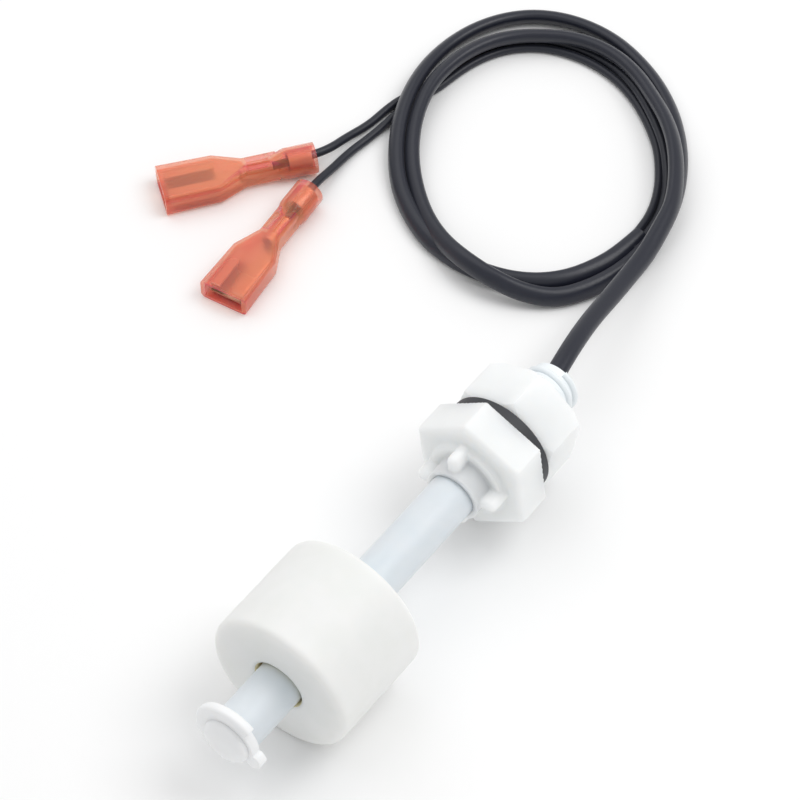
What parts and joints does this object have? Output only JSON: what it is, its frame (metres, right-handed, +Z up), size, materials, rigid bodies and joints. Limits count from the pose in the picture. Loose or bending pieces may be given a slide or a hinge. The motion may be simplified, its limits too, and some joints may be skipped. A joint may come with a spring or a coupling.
{
  "type": "float level switch",
  "caption": "Plastic float level switch: a ring float slides on a stem below a hexagon flange, gasket and lock nut on a threaded stub, with a coiled two-core cable and push-on terminals",
  "frame": {"origin": "on the axis of the stem, in the sealing face of the hexagon flange, where the tank wall clamps", "axes": "+X along the stem towards the cable end, the float is at -X; +Z up from the surface that the switch lies on"},
  "size_m": [0.1696, 0.1016, 0.0255],
  "materials": {
    "body_white": "moulded natural polypropylene, thick section",
    "stem_natural": "moulded natural polypropylene, thin and translucent",
    "clip_white": "moulded white plastic",
    "float_white": "moulded white polypropylene",
    "magnet": "sintered ferrite",
    "gasket_rubber": "flat nitrile rubber",
    "nut_white": "moulded white polypropylene",
    "reed_glass": "drawn glass tube",
    "reed_metal": "plated nickel-iron",
    "core_insulation": "satin black insulation",
    "shrink": "black shrink sleeve",
    "potting": "cast black resin",
    "jacket": "satin black cable jacket",
    "terminal_nylon": "translucent orange-red nylon",
    "terminal_brass": "stamped brass"
  },
  "bodies": {
    "switch": {"threaded_body": "body_white", "stem_tube": "stem_natural", "retaining_clip": "clip_white", "reed_glass": "reed_glass", "reed_blade_front": "reed_metal", "reed_blade_rear": "reed_metal", "lead_wire_front": "core_insulation", "lead_wire_rear": "core_insulation", "shrink_sleeve_front": "shrink", "shrink_sleeve_rear": "shrink", "potting_plug": "potting", "cable_jacket": "jacket", "cable_coil": "jacket", "core_a": "core_insulation", "core_b": "core_insulation", "terminal_a_housing": "terminal_nylon", "terminal_a_receptacle": "terminal_brass", "terminal_a_grip": "terminal_brass", "terminal_b_housing": "terminal_nylon", "terminal_b_receptacle": "terminal_brass", "terminal_b_grip": "terminal_brass"},
    "float": {"float_shell": "float_white", "float_cap": "float_white", "ring_magnet": "magnet"},
    "seal": {"gasket": "gasket_rubber"},
    "nut": {"lock_nut": "nut_white"}
  },
  "joints": [
    {"name": "float_slide", "type": "slide", "parent": "switch", "child": "float", "axis": [1, 0, 0], "range_m": [-0.0102, 0.0254]},
    {"name": "gasket_slide", "type": "slide", "parent": "switch", "child": "seal", "axis": [1, 0, 0], "range_m": [0, 0.00636]},
    {"name": "lock_nut_turn", "type": "hinge", "parent": "seal", "child": "nut", "pos_m": [0, 0, 0], "axis": [1, 0, 0], "range_deg": [0, 1440]}
  ],
  "couplings": [
    {"joint": "gasket_slide", "follows": "lock_nut_turn", "m_per_rad": 0.00025266}
  ]
}
